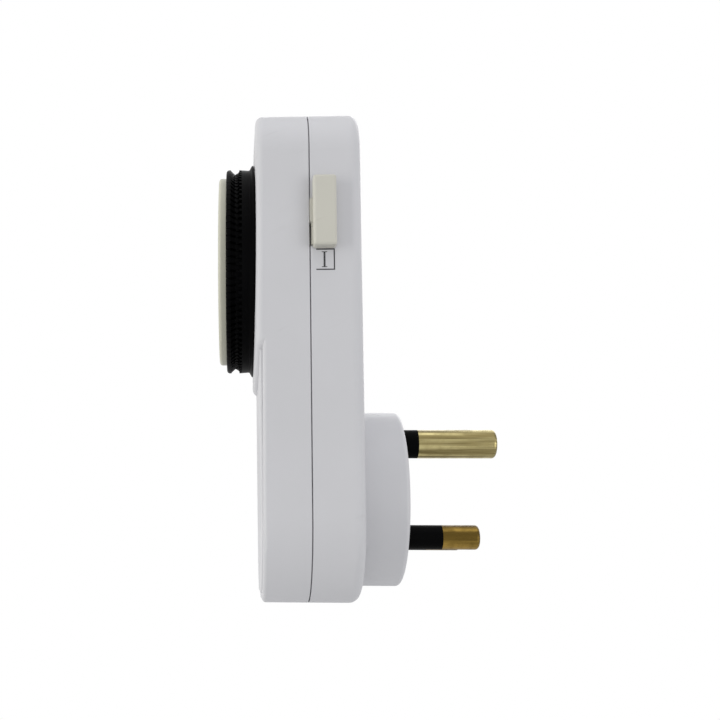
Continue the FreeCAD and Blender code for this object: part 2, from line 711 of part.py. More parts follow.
def follower_lever():
    """The bell crank that the pushed tappets tilt. It turns on an axle along Y."""
    nose_x = skirt_back_x + 0.3
    upper = [
        (pivot_x - 0.9, pivot_z),
        (nose_x + 1.4, nose_z - 3.0),
        (nose_x, nose_z - 1.1),
        (nose_x, nose_z + 0.9),
        (nose_x + 1.9, nose_z + 1.1),
        (pivot_x + 1.0, pivot_z),
    ]
    low = (contact_z - 2.0, pivot_z)
    rear = (spring_top_z + 0.2, pivot_z + 0.2)
    y = (lever_y - LEVER_WIDTH / 2, lever_y + LEVER_WIDTH / 2)
    hub = Part.makeCylinder(LEVER_HUB_R, LEVER_WIDTH, V(pivot_x, y[0], pivot_z), V(0, 1, 0))
    bore = Part.makeCylinder(
        AXLE_R + RUN, LEVER_WIDTH + 2, V(pivot_x, y[0] - 1, pivot_z), V(0, 1, 0)
    )
    body = join(
        hub,
        side_plate(upper, y[0] + 0.4, y[1] - 0.4),
        box((arm_front_x, arm_back_x), y, low),
        box((pivot_x, chassis_back_x - 0.1), (lever_y - 1.0, lever_y + 1.0), rear),
    )
    return body.cut(bore)


def coil_spring_body(x, y, z_low, z_high, outer, wall):
    """A hidden compression spring, kept as the plain tube that its turns fill."""
    body = Part.makeCylinder(outer, z_high - z_low, V(x, y, z_low), V(0, 0, 1))
    bore = Part.makeCylinder(outer - wall, z_high - z_low + 2, V(x, y, z_low - 1), V(0, 0, 1))
    return body.cut(bore)


def rotor():
    """The motor's round magnet rotor, free on its axle."""
    return tube(motor_yz, ROTOR_R, 1.0 + RUN, can_front_x + 3.0, can_back_x - 1.2)


def coil_bobbin():
    """The spool that carries the motor's winding."""
    front, back = can_front_x + 2.0, can_back_x - CAN_WALL - 0.3
    bore_r = ROTOR_R + BOBBIN_GAP
    core = tube(motor_yz, bobbin_r, bore_r, front, back)
    end_a = tube(motor_yz, MOTOR_R - BOBBIN_MARGIN, bore_r, front, front + BOBBIN_WALL)
    end_b = tube(motor_yz, MOTOR_R - BOBBIN_MARGIN, bore_r, back - BOBBIN_WALL, back)
    return join(core, end_a, end_b)


def motor_plate():
    """The motor's front plate with two fixing ears."""
    body = rod(motor_yz, MOTOR_R, chassis_back_x, can_front_x)
    for yz in motor_screws:
        body = body.fuse(rod(yz, 3.0, chassis_back_x, can_front_x))
    body = body.removeSplitter()
    for yz in motor_screws:
        body = body.cut(rod(yz, SMALL_SCREW_R + SEAT, -90, 0))
    return body.cut(rod(output_yz, OUTPUT_SHAFT_R + 0.1, -90, 0))


def motor_can():
    """The steel cup round the coil and the rotor, with two holes where the leads leave."""
    body = rod(motor_yz, MOTOR_R, can_front_x, can_back_x)
    body = body.cut(rod(motor_yz, MOTOR_R - CAN_WALL, can_front_x - 1, can_back_x - CAN_WALL))
    return body


def dial_post():
    """The fixed post on which the dial turns, riveted into the chassis plate."""
    flange = rod(dial_yz, POST_R + 1.5, gear_back_x + 0.1, chassis_front_x)
    post = rod(dial_yz, POST_R, web_front_x - 0.1, chassis_front_x)
    tail = rod(dial_yz, 2.0 - 0.02, chassis_front_x, chassis_back_x)
    body = join(flange, post, tail)
    return body.cut(rod(dial_yz, 1.2, web_front_x - 2, web_front_x + 6))


def hub_cap():
    """The still cap in the middle of the number plate, pressed on the screw's head."""
    face = rod(dial_yz, CAP_R, plate_front_x + 0.1, plate_front_x + 0.8)
    face = face.makeFillet(0.4, edges_at(face, plate_front_x + 0.1))
    rim = tube(dial_yz, CAP_R, CAP_R - 0.8, plate_front_x + 0.8, web_front_x - 0.3)
    grip = tube(dial_yz, 3.8, 2.4 + SEAT, plate_front_x + 0.8, web_front_x - 0.7)
    return join(face, rim, grip)


def shutter():
    """The sprung shutter: a plate over live and neutral, two legs and the wedge at the earth hole."""
    x = (shutter_front_x, shutter_back_x)
    half = LINE_SPREAD / 2 + line_hole_r + 0.4
    plate_z = (line_z - line_hole_r - 0.4, line_z + line_hole_r + 0.4)
    leg = earth_hole_r + 0.8
    bar_z = (EARTH_Z + earth_hole_r + 0.3, EARTH_Z + earth_hole_r + 2.8)
    plate = box(x, (-half, half), plate_z)
    left = box(x, (-leg - 2, -leg), (plate_z[1] - 1, bar_z[1]))
    right = box(x, (leg, leg + 2), (plate_z[1] - 1, bar_z[1]))
    bar = box(x, (-leg - 2, leg + 2), bar_z)
    back_x = shutter_front_x + WEDGE_LENGTH
    wedge_low_z = EARTH_Z + earth_r + 0.15 - shutter_travel
    wedge = side_plate(
        [
            (x[0], EARTH_Z + 3.9),
            (x[0], bar_z[1]),
            (back_x, bar_z[1]),
            (back_x, wedge_low_z),
        ],
        -2.5,
        2.5,
    )
    return join(plate, left, right, bar, wedge)


def socket_block():
    """The insulating block behind the shutter that holds the live and neutral contacts."""
    x = (block_front_x, block_back_x)
    hole_r = line_r + CONTACT_CLEARANCE + CONTACT_WALL + SEAT
    round_hole = hole_r + BLOCK_MARGIN
    top_z = EARTH_Z - BLOCK_TOP_DROP
    half = LINE_SPREAD / 2 + round_hole
    wide = SOCKET_SCREW_Y + SMALL_SCREW_R + 1.3
    seat_z = (spring_seat_z, spring_seat_z + 1.0)
    body = join(
        box(x, (-half, half), (line_z - round_hole - 1.0, top_z)),
        box(x, (-wide, wide), (top_z - BLOCK_BAR, top_z)),
        box(x, (-4.5, 4.5), (top_z - 1, seat_z[1])),
        box((shutter_front_x, x[1]), (-2.4, 2.4), seat_z),
    )
    for yz in (live_yz, neutral_yz):
        body = body.cut(rod(yz, hole_r, -90, 0))
    for yz in socket_screws:
        body = body.cut(rod(yz, SMALL_SCREW_R + SEAT, -90, 0))
    return body


def socket_contact(yz, pin_r, front_x, back_x):
    """A brass sleeve that grips a pin, slit along one side so that it springs."""
    bore_r = pin_r + CONTACT_CLEARANCE
    body = tube(yz, bore_r + CONTACT_WALL, bore_r, front_x, back_x)
    slit_z = (yz[1] - bore_r - CONTACT_WALL - 1, yz[1])
    slit_y = (yz[0] - CONTACT_SLIT / 2, yz[0] + CONTACT_SLIT / 2)
    return body.cut(box((front_x - 1, back_x - 4), slit_y, slit_z))


def plug_pin(yz, radius, length, bare_x):
    """A turned brass pin: riveted root, neck under its sleeve and full round beyond it."""
    neck_r = radius - SLEEVE_INSET - SLEEVE_WALL
    body = join(
        rod(yz, radius, bare_x, length),
        rod(yz, neck_r, pin_strap_x, bare_x),
        rod(yz, neck_r + RIVET_LIP, pin_strap_x - RIVET_HEAD, pin_strap_x),
    )
    return body.makeFillet(PIN_TIP_ROUND, edges_at(body, length))


def pin_sleeve(yz, radius, length):
    """The black insulating sleeve round the root of a pin, stepped down inside the boss's face."""
    outer = radius - SLEEVE_INSET
    bore_r = outer - SLEEVE_WALL + 0.03
    shell = join(
        rod(yz, outer, 0, length - 0.02),
        rod(yz, outer - SLEEVE_STEP, -BOSS_FACE_WALL, 0.1),
    )
    return shell.cut(rod(yz, bore_r, -BOSS_FACE_WALL - 1, length + 1))


def pin_carrier():
    """The insulating disc in the plug boss, behind which the pins are riveted."""
    body = rod((0, 0), BOSS_R - WALL - 0.2, carrier_front_x, carrier_back_x)
    for yz, radius in ((earth_yz, earth_r), (live_yz, line_r), (neutral_yz, line_r)):
        body = body.cut(rod(yz, radius - SLEEVE_INSET - SLEEVE_WALL + SEAT, -90, 0))
    return body


def pin_tab(yz, radius, arm_z):
    """The start of a strap: an eye round the pin's neck and an arm along the carrier."""
    x = (pin_strap_x, carrier_front_x)
    half = STRAP_WIDTH / 2
    low, high = min(yz[1], arm_z), max(yz[1], arm_z)
    eye = rod(yz, radius + 0.2, *x)
    arm = box(x, (yz[0] - half, yz[0] + half), (low, high))
    neck_r = radius - SLEEVE_INSET - SLEEVE_WALL
    return eye.fuse(arm).cut(rod(yz, neck_r + 0.02, -90, 0))


def earth_strap():
    """Brass strap from the earth pin's root to the underside of the earth contact."""
    top_z = EARTH_Z - earth_r - CONTACT_CLEARANCE - CONTACT_WALL - 0.02
    half = STRAP_WIDTH / 2
    z = (top_z - STRAP_THICK, top_z)
    leg = box((earth_contact_front_x + 1.0, carrier_front_x), (-half - 0.6, half + 0.6), z)
    return join(pin_tab(earth_yz, earth_r, z[0]), leg)


def neutral_strap():
    """Brass strap from the neutral pin's root to the top of the neutral contact."""
    low_z = line_z + line_r + CONTACT_CLEARANCE + CONTACT_WALL + 0.02
    z = (low_z, low_z + STRAP_THICK)
    y = (neutral_yz[0] - STRAP_WIDTH / 2, neutral_yz[0] + STRAP_WIDTH / 2)
    leg = box((block_back_x + 0.3, carrier_front_x), y, z)
    return join(pin_tab(neutral_yz, line_r, z[1]), leg)


def live_feed_strap():
    """Brass strap from the live pin up to the fixed contact, with a terminal for the override."""
    t = STRAP_THICK
    turn_z = EARTH_Z - 6.0
    front_z = EARTH_Z + 7.0
    pin_y = (live_yz[0] - STRAP_WIDTH / 2, live_yz[0] + STRAP_WIDTH / 2)
    up_x = (feed_x, feed_x + t)
    tab_x = (fixed_strap_x - t, fixed_strap_x)
    tab_y = (lever_y - CONTACT_TIP_R - 0.3, feed_y[1])
    tab_z = (contact_z - 4.5, contact_z + 3.0)
    return join(
        pin_tab(live_yz, line_r, turn_z),
        box((feed_x, carrier_front_x), (feed_y[0] + 1.5, pin_y[1]), (turn_z - t, turn_z)),
        box(up_x, feed_y, (turn_z - t, terminal_z[1])),
        box(up_x, (load_y[0], feed_y[1]), terminal_z),
        box((tab_x[0], up_x[1]), feed_y, (front_z - t, front_z)),
        box(tab_x, feed_y, (front_z - t, tab_z[1])),
        box(tab_x, tab_y, tab_z),
    )


def live_load_strap():
    """Brass strap from the live socket contact up to the override's other terminal."""
    t = STRAP_THICK
    low_z = line_z + line_r + CONTACT_CLEARANCE + CONTACT_WALL + 0.02
    pin_y = (live_yz[0] - STRAP_WIDTH / 2, live_yz[0] + STRAP_WIDTH / 2)
    up_x = (load_x, load_x + t)
    return join(
        box((block_back_x + 0.3, line_contact_back_x - 1), pin_y, (low_z, low_z + t)),
        box(up_x, (load_y[0], pin_y[1]), (low_z, low_z + STRAP_WIDTH)),
        box(up_x, load_y, (low_z, terminal_z[1])),
    )


def contact_braid():
    """The flexible braid from the load strap to the moving blade."""
    x = blade_front_x + 0.25
    turn_z = CHASSIS_FOOT_Z - 4.0
    end_z = contact_z - 2.0 - 0.35
    points = [(load_x - 0.05, lever_y, turn_z), (x, lever_y, turn_z), (x, lever_y, end_z)]
    return wire_run(points, 0.7)


def moving_contact():
    """The blade on the lever's lower arm with its round silver tip."""
    y = (lever_y - LEVER_WIDTH / 2, lever_y + LEVER_WIDTH / 2)
    blade = box((blade_front_x, arm_front_x), y, (contact_z - 1.8, pivot_z - LEVER_HUB_R - 0.3))
    tip = rod((lever_y, contact_z), CONTACT_TIP_R, tip_front_x, blade_front_x)
    return join(blade, tip)


def slider_cap():
    """The cream cap outside the housing and its stem through the slot."""
    face_y = -HALF_WIDTH - 0.25
    z = (CAP_BOTTOM_Z, cap_top_z)
    cap = box((cap_front_x, CAP_BACK_X), (-HALF_WIDTH - CAP_STAND, face_y), z)
    rounded = [edge for edge in cap.Edges if edge.BoundBox.YMin < face_y - 0.1]
    cap = cap.makeFillet(CAP_ROUND, rounded)
    stem_z = (slot_top_z - 0.2 - STEM_LENGTH, slot_top_z - 0.2)
    stem_x = (seam_front_x + 0.15, seam_front_x + SLOT_WIDTH - 0.3)
    stem = box(stem_x, (face_y - 1, carriage_inner_y - 0.3), stem_z)
    foot = box(
        (cap_front_x - CAP_FOOT, cap_front_x + 1.0),
        (face_y - CAP_FOOT_STAND, face_y),
        (slot_bottom_z + 0.2, slot_top_z),
    )
    return join(cap, stem, foot)


def slider_carriage():
    """The slider's inner half: it runs along the wall and covers the slot from inside."""
    y = (carriage_face_y, carriage_inner_y)
    z = (slot_bottom_z - 0.7, cap_top_z + 1.1)
    body = join(
        box((SEAM_X - 1.5, CAP_BACK_X - 0.4), y, z),
        box((load_x + 0.3, feed_x + 0.6), y, (blade_z[0] - 0.6, z[0] + 1)),
        box((load_x + 1.8, load_x + 3.8), (y[0], strap_edge_y - 1.1), (blade_z[0] + 0.9, blade_z[1] - 0.9)),
    )
    stem_z = (slot_top_z - 0.2 - STEM_LENGTH - SEAT, slot_top_z - 0.2 + SEAT)
    stem_x = (seam_front_x + 0.15 - SEAT, seam_front_x + SLOT_WIDTH - 0.3 + SEAT)
    return body.cut(box(stem_x, (y[0] - 1, y[1] + 1), stem_z))


def bridge_blade():
    """The brass blade that joins feed and load terminals when the slider is down."""
    y = (strap_edge_y - 1.1, strap_edge_y - 0.3)
    return box((load_x - 0.8, feed_x + STRAP_THICK + 0.8), y, blade_z)


def detent_spring():
    """The bent leaf on the chassis that holds the slider where it is put."""
    y = carriage_inner_y + 0.3
    z = (slot_bottom_z + 7.0, slot_bottom_z + 13.0)
    foot = box((chassis_back_x, chassis_back_x + 0.4), (y, y + 5.5), z)
    leg = box((chassis_back_x, CAP_BACK_X - 2.0), (y, y + 0.4), z)
    return join(foot, leg)


def motor_leads():
    """The two insulated leads from the coil to the live feed and the neutral strap."""
    x = can_front_x + 5.5
    lead_r = 0.55
    left = polar(motor_yz, MOTOR_R + lead_r + 0.05, 230)
    right = polar(motor_yz, MOTOR_R + lead_r + 0.05, 310)
    feed_mid = (feed_y[0] + feed_y[1]) / 2
    live = [
        (x, left[0], left[1]),
        (x, left[0] - 3.5, left[1] - 6.0),
        (feed_x - lead_r - 0.05, feed_mid, left[1] - 14.0),
        (feed_x - lead_r - 0.05, feed_mid, left[1] - 20.0),
    ]
    top_z = line_z + line_r + CONTACT_CLEARANCE + CONTACT_WALL + 0.02 + STRAP_THICK
    neutral = [
        (x, right[0], right[1]),
        (x + 1.0, right[0] + 3.5, right[1] - 14.0),
        (x + 1.5, right[0] + 3.0, right[1] - 34.0),
        (x + 2.0, right[0] + 1.5, right[1] - 52.0),
        (x + 3.0, neutral_yz[0], top_z + lead_r + 0.05),
    ]
    return wire_run(live, lead_r), wire_run(neutral, lead_r)


def shell_screws():
    """The four screws that close the housing from behind."""
    seat_x = BACK_X - SCREW_RECESS
    found = [screw(yz, SCREW_R, SCREW_HEAD_R, seat_x, SCREW_HEAD, upper_inner_x + 2) for yz in top_screws]
    for yz in low_screws:
        found.append(screw(yz, SCREW_R, SCREW_HEAD_R, seat_x, SCREW_HEAD, low_inner_x + 2))
    return found


def small_screws(places, seat_x, tip_x):
    """A group of small screws driven from behind."""
    return [screw(yz, SMALL_SCREW_R, SMALL_HEAD_R, seat_x, SMALL_HEAD, tip_x) for yz in places]


save("front_shell", front_shell())
save("rear_shell", rear_shell())
save("shell_screws", *shell_screws())
save("chassis_plate", chassis_plate())
save("chassis_screws", *small_screws(chassis_screws, chassis_back_x, upper_inner_x + 2))
save("socket_screws", *small_screws(socket_screws, block_back_x, low_inner_x + 1))
save("motor_screws", *small_screws(motor_screws, can_front_x, chassis_front_x))

save("pin_carrier", pin_carrier())
save("earth_pin", plug_pin(earth_yz, earth_r, EARTH_LENGTH, EARTH_COLLAR))
save("live_pin", plug_pin(live_yz, line_r, LINE_LENGTH, LINE_SLEEVE))
save("neutral_pin", plug_pin(neutral_yz, line_r, LINE_LENGTH, LINE_SLEEVE))
save("earth_collar", pin_sleeve(earth_yz, earth_r, EARTH_COLLAR))
save("live_sleeve", pin_sleeve(live_yz, line_r, LINE_SLEEVE))
save("neutral_sleeve", pin_sleeve(neutral_yz, line_r, LINE_SLEEVE))

line_span = (line_contact_front_x, line_contact_back_x)
save("earth_contact", socket_contact(earth_yz, earth_r, earth_contact_front_x, earth_contact_back_x))
save("live_contact", socket_contact(live_yz, line_r, *line_span))
save("neutral_contact", socket_contact(neutral_yz, line_r, *line_span))
save("earth_strap", earth_strap())
save("neutral_strap", neutral_strap())
save("live_feed_strap", live_feed_strap())
save("live_load_strap", live_load_strap())
save("socket_block", socket_block())
save("shutter", shutter())
shutter_top_z = line_z + line_hole_r + 0.4
save("shutter_spring", coil_spring_body(
    (shutter_front_x + shutter_back_x) / 2, 0, shutter_top_z + 0.05, spring_seat_z - 0.05, 0.75, 0.3))

save("dial_ring", dial_ring())
save("dial_gear", dial_gear())
save("number_plate", number_plate())
save("tappets", *[tappet(i) for i in range(TAPPETS) if i not in SHIFTING_TAPPETS])
for order, place in enumerate(SHIFTING_TAPPETS):
    save("tappet_%d" % (order + 1), tappet(place))
save("dial_post", dial_post())
save("hub_washer", tube(dial_yz, 4.6, 1.25, web_front_x - 0.45, web_front_x - 0.1))
hub_head_x = web_front_x - 0.45
hub_screw = join(
    rod(dial_yz, 2.4, hub_head_x - 1.0, hub_head_x), rod(dial_yz, 1.15, hub_head_x, web_front_x + 5)
)
save("hub_screw", hub_screw)
save("hub_cap", hub_cap())

save("idler_gear", idler_gear())
idler_axle = join(
    rod(idler_yz, AXLE_R, gear_front_x - 0.1, chassis_back_x),
    rod(idler_yz, 1.3, gear_front_x - 0.5, gear_front_x - 0.1),
)
save("idler_axle", idler_axle)
save("output_pinion", output_pinion())
save("motor_plate", motor_plate())
save("motor_can", motor_can())
save("coil_bobbin", coil_bobbin())
winding_x = (
    can_front_x + 2.0 + BOBBIN_WALL + SEAT,
    can_back_x - CAN_WALL - 0.3 - BOBBIN_WALL - SEAT,
)
save("coil_winding", tube(motor_yz, MOTOR_R - WINDING_MARGIN, bobbin_r + SEAT, *winding_x))
save("rotor", rotor())
save("rotor_axle", rod(motor_yz, 1.0, can_front_x, can_back_x - CAN_WALL))

save("follower_lever", follower_lever())
lug_span = 2 * (lug_inner + 2)
save("lever_axle", Part.makeCylinder(
    AXLE_R, lug_span, V(pivot_x, lever_y - lug_span / 2, pivot_z), V(0, 1, 0)))
save("lever_spring", coil_spring_body(
    (chassis_front_x + chassis_back_x) / 2, lever_y, window_low_z + 0.02, spring_top_z + 0.15, 0.95, 0.35))
save("moving_contact", moving_contact())
save("fixed_contact", rod((lever_y, contact_z), CONTACT_TIP_R, fixed_strap_x, fixed_face_x))
save("contact_braid", contact_braid())

save("slider_cap", slider_cap())
save("slider_carriage", slider_carriage())
save("bridge_blade", bridge_blade())
save("detent_spring", detent_spring())
save("motor_leads", *motor_leads())
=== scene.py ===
"""Looks of the plug-in timer: its finishes, printed marks, springs, room and camera."""
import json
import math

import bpy
import bmesh
from mathutils import Matrix, Vector


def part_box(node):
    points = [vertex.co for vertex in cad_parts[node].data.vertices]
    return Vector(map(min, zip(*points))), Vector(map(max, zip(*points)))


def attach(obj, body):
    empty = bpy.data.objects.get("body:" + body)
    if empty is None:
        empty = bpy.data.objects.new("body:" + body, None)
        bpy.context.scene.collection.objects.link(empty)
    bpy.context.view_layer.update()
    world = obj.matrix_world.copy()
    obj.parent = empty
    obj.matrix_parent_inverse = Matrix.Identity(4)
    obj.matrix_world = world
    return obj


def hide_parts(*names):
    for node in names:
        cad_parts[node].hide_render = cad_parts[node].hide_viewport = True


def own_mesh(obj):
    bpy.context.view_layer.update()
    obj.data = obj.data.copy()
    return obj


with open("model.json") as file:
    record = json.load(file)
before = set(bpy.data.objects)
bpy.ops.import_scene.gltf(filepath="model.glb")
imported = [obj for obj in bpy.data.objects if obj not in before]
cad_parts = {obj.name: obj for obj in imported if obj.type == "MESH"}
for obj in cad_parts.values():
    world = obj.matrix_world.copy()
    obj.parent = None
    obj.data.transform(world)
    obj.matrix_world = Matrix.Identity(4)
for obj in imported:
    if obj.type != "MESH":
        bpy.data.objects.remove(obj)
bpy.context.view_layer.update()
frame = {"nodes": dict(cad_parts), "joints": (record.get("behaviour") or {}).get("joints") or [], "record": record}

MM = 0.001
OBJECT_NODES = frame["nodes"]
JOINTS = {joint["name"]: joint for joint in frame["joints"]}

# Places on the timer in millimetres, read from the frame
DIAL_Z = JOINTS["dial_spin"]["pos_m"][2] / MM
PLATE_FRONT_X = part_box("number_plate")[0].x / MM
HUB_FRONT_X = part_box("hub_cap")[0].x / MM
WALL_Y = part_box("front_shell")[0].y / MM
CAP_FOOT_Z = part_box("slider_cap")[0].z / MM

# Prints, in millimetres
PRINT_THICK = 0.03
PRINT_SINK = 0.01
HOURS = 24
HOUR_RADIUS = 20.2
HOUR_HEIGHT = 3.9
MERGE_GAP = 0.0005

# The two marks beside the slider, in millimetres
MARK_LEFT_X = -26.2
MARK_RIGHT_X = -21.0
MARK_MIDDLE_X = -23.9
MARK_STROKE = 0.34
ON_MARK_LOW_Z = 61.8
ON_LETTER_LOW_Z = 62.6
ON_LETTER_HIGH_Z = 67.1
TIMER_MARK_LOW_Z = 81.6
TIMER_MARK_HIGH_Z = 87.8
CLOCK_OUTER_R = 1.75
CLOCK_INNER_R = 1.45
LONG_HAND = 1.05
SHORT_HAND = 0.8
HAND_TAIL = 0.1
HAND_HALF_WIDTH = 0.14

# The hub's arrow and its turning mark, in millimetres and degrees
ARROW_TOP = 6.9
ARROW_NECK = 2.6
ARROW_FOOT = -4.6
ARROW_HALF_WIDTH = 1.9
SHAFT_HALF_WIDTH = 0.55
TURN_START = 200
TURN_STOP = 300
TURN_INNER_R = 6.6
TURN_OUTER_R = 7.2
TIP_AT = 316
TIP_INNER_R = 6.0
TIP_OUTER_R = 7.8
TIP_R = 6.9

# The springs' wire, in millimetres
SPRING_WIRE_R = 0.16

# The floor's height and half its width, in metres, its grey and its glow in the clear rays
FLOOR_Z = -1.15
FLOOR_HALF = 6.0
FLOOR_GREY = 0.80
FLOOR_GLOW = 0.35

# The world's light on the timer
WORLD_TINT = (0.985, 0.99, 1.0)
WORLD_STRENGTH = 0.65

# The point that the lamps look at, in metres
LAMP_AIM = (0, 0, 0.04)

# The photograph's camera: its place in millimetres, its turns in radians and its lens
CAMERA_PLACE = (-47.28, -303.43, -17.77)
CAMERA_PAN = 0.0497
CAMERA_PITCH = 0.124
CAMERA_ROLL = -0.0049
CAMERA_LENS = 49.363
CAMERA_SENSOR = 36.0
CAMERA_SHIFT = (0.2331, 0.1025)


def link(tree, source, target):
    """Joins an output socket to an input socket."""
    tree.links.new(source, target)


def shader_group(name, inputs, outputs):
    """A new shader group with float, colour or vector sockets."""
    tree = bpy.data.node_groups.new(name, "ShaderNodeTree")
    kinds = {"float": "NodeSocketFloat", "vector": "NodeSocketVector", "colour": "NodeSocketColor"}
    for label, kind, value in inputs:
        socket = tree.interface.new_socket(name=label, in_out="INPUT", socket_type=kinds[kind])
        if value is not None:
            socket.default_value = value
    for label, kind in outputs:
        tree.interface.new_socket(name=label, in_out="OUTPUT", socket_type=kinds[kind])
    return tree, tree.nodes.new("NodeGroupInput"), tree.nodes.new("NodeGroupOutput")


def noise_node(tree, vector, scale, detail, rough):
    """A noise texture read at a vector. The scale is a number or a socket."""
    node = tree.nodes.new("ShaderNodeTexNoise")
    node.inputs["Detail"].default_value = detail
    node.inputs["Roughness"].default_value = rough
    link(tree, vector, node.inputs["Vector"])
    if isinstance(scale, (int, float)):
        node.inputs["Scale"].default_value = scale
    else:
        link(tree, scale, node.inputs["Scale"])
    return node.outputs["Fac"]


def maths(tree, kind, first, second):
    """A maths node on two sockets or numbers."""
    node = tree.nodes.new("ShaderNodeMath")
    node.operation = kind
    for index, value in enumerate((first, second)):
        if isinstance(value, (int, float)):
            node.inputs[index].default_value = value
        else:
            link(tree, value, node.inputs[index])
    return node.outputs[0]


def spread(tree, value, low, high, to_low=0.0, to_high=1.0):
    """Stretches a value from one range to another and clamps it."""
    node = tree.nodes.new("ShaderNodeMapRange")
    for index, number in enumerate((low, high, to_low, to_high)):
        node.inputs[index + 1].default_value = number
    link(tree, value, node.inputs[0])
    return node.outputs[0]


def make_moulded_grain():
    """Spark textured mould grain: a fine height and a slow, cloudy mottle."""
    tree, source, result = shader_group(
        "moulded grain",
        [("Vector", "vector", None), ("Grain Scale", "float", 2600.0), ("Cloud Scale", "float", 42.0)],
        [("Height", "float"), ("Mottle", "float")],
    )
    vector = source.outputs["Vector"]
    fine = noise_node(tree, vector, source.outputs["Grain Scale"], detail=4.0, rough=0.6)
    wide = noise_node(tree, vector, source.outputs["Cloud Scale"], detail=3.0, rough=0.5)
    link(tree, fine, result.inputs["Height"])
    link(tree, spread(tree, wide, low=0.3, high=0.7), result.inputs["Mottle"])
    return tree


def make_handling_marks():
    """Hairline scuffs and specks that use leaves, as a mask."""
    tree, source, result = shader_group(
        "handling marks",
        [("Vector", "vector", None), ("Scratch Scale", "float", 90.0), ("Amount", "float", 0.5)],
        [("Mask", "float")],
    )
    vector = source.outputs["Vector"]
    turn = tree.nodes.new("ShaderNodeVectorRotate")
    turn.rotation_type = "EULER_XYZ"
    turn.inputs["Rotation"].default_value = (0.7, 0.35, 0.2)
    link(tree, vector, turn.inputs["Vector"])
    stretch = tree.nodes.new("ShaderNodeVectorMath")
    stretch.operation = "MULTIPLY"
    stretch.inputs[1].default_value = (1.0, 0.06, 9.0)
    link(tree, turn.outputs["Vector"], stretch.inputs[0])
    along = stretch.outputs["Vector"]
    lines = noise_node(tree, along, source.outputs["Scratch Scale"], detail=2.0, rough=0.7)
    patches = noise_node(tree, vector, scale=75.0, detail=2.0, rough=0.5)
    lines = spread(tree, lines, low=0.63, high=0.70)
    patches = spread(tree, patches, low=0.48, high=0.68)
    both = maths(tree, "MULTIPLY", lines, patches)
    link(tree, maths(tree, "MULTIPLY", both, source.outputs["Amount"]), result.inputs["Mask"])
    return tree


def make_turned_lines():
    """Tool lines round a pin that lies along X, uneven bands along it and dull tarnish. The bands are mild drawing
    marks on most metals and a painted reflection of dark surroundings on the pins' brass.
    """
    tree, source, result = shader_group(
        "turned lines",
        [("Vector", "vector", None), ("Line Scale", "float", 2400.0), ("Tarnish Scale", "float", 260.0)],
        [("Height", "float"), ("Tarnish", "float"), ("Streak And Reflection Band", "float")],
    )
    vector = source.outputs["Vector"]
    squeeze = tree.nodes.new("ShaderNodeVectorMath")
    squeeze.operation = "MULTIPLY"
    squeeze.inputs[1].default_value = (1.0, 0.04, 0.04)
    link(tree, vector, squeeze.inputs[0])
    across = squeeze.outputs["Vector"]
    rings = noise_node(tree, across, source.outputs["Line Scale"], detail=2.0, rough=0.5)
    draw = tree.nodes.new("ShaderNodeVectorMath")
    draw.operation = "MULTIPLY"
    draw.inputs[1].default_value = (0.03, 1.0, 1.0)
    link(tree, vector, draw.inputs[0])
    # Bands along the pin: a painted reflection of dark surroundings where the light and shade tones are far apart,
    # a mild drawing mark elsewhere
    streaks_and_reflection_bands = noise_node(tree, draw.outputs["Vector"], scale=520.0, detail=3.0, rough=0.6)
    blots = noise_node(tree, vector, source.outputs["Tarnish Scale"], detail=5.0, rough=0.65)
    link(tree, rings, result.inputs["Height"])
    link(tree, spread(tree, blots, low=0.42, high=0.66), result.inputs["Tarnish"])
    link(tree, spread(tree, streaks_and_reflection_bands, low=0.42, high=0.60), result.inputs["Streak And Reflection Band"])
    return tree


MOULDED_GRAIN = make_moulded_grain()
HANDLING_MARKS = make_handling_marks()
TURNED_LINES = make_turned_lines()


def new_material(name):
    """A material with an empty Principled shader, and the object coordinates to read."""
    material = bpy.data.materials.new(name)
    material.use_nodes = True
    tree = material.node_tree
    shader = tree.nodes["Principled BSDF"]
    place = tree.nodes.new("ShaderNodeTexCoord").outputs["Object"]
    return material, tree, shader, place


def use_group(tree, group, place, **values):
    """Places a shader group in a material with its own values."""
    node = tree.nodes.new("ShaderNodeGroup")
    node.node_tree = group
    link(tree, place, node.inputs["Vector"])
    for label, value in values.items():
        node.inputs[label.replace("_", " ")].default_value = value
    return node


def blend_colours(tree, amount, first, second):
    """Mixes two colours by a mask. Each is a colour or a socket."""
    node = tree.nodes.new("ShaderNodeMix")
    node.data_type = "RGBA"
    link(tree, amount, node.inputs[0])
    # The node keeps its colour inputs at 6 and 7 and its colour output at 2
    for index, value in ((6, first), (7, second)):
        if isinstance(value, tuple):
            node.inputs[index].default_value = (*value, 1.0)
        else:
            link(tree, value, node.inputs[index])
    return node.outputs[2]


def add_bump(tree, shader, height, strength, distance):
    """A bump on the shader's normal. The distance is in millimetres."""
    node = tree.nodes.new("ShaderNodeBump")
    node.inputs["Strength"].default_value = strength
    node.inputs["Distance"].default_value = distance * MM
    link(tree, height, node.inputs["Height"])
    link(tree, node.outputs["Normal"], shader.inputs["Normal"])


def plastic(name, light, shade, scuff, rough, grain=0.25, wear=0.4, specular=0.5):
    """Moulded plastic: two close tones, a fine grain and a little wear."""
    material, tree, shader, place = new_material(name)
    texture = use_group(tree, MOULDED_GRAIN, place)
    marks = use_group(tree, HANDLING_MARKS, place, Amount=wear)
    tone = blend_colours(tree, texture.outputs["Mottle"], light, shade)
    tone = blend_colours(tree, marks.outputs["Mask"], tone, scuff)
    link(tree, tone, shader.inputs["Base Color"])
    spread_rough = spread(tree, texture.outputs["Mottle"], 0.0, 1.0, rough - 0.05, rough + 0.06)
    worn_rough = maths(tree, "MULTIPLY", marks.outputs["Mask"], 0.12)
    link(tree, maths(tree, "ADD", spread_rough, worn_rough), shader.inputs["Roughness"])
    add_bump(tree, shader, texture.outputs["Height"], strength=grain, distance=0.05)
    shader.inputs["Specular IOR Level"].default_value = specular
    return material


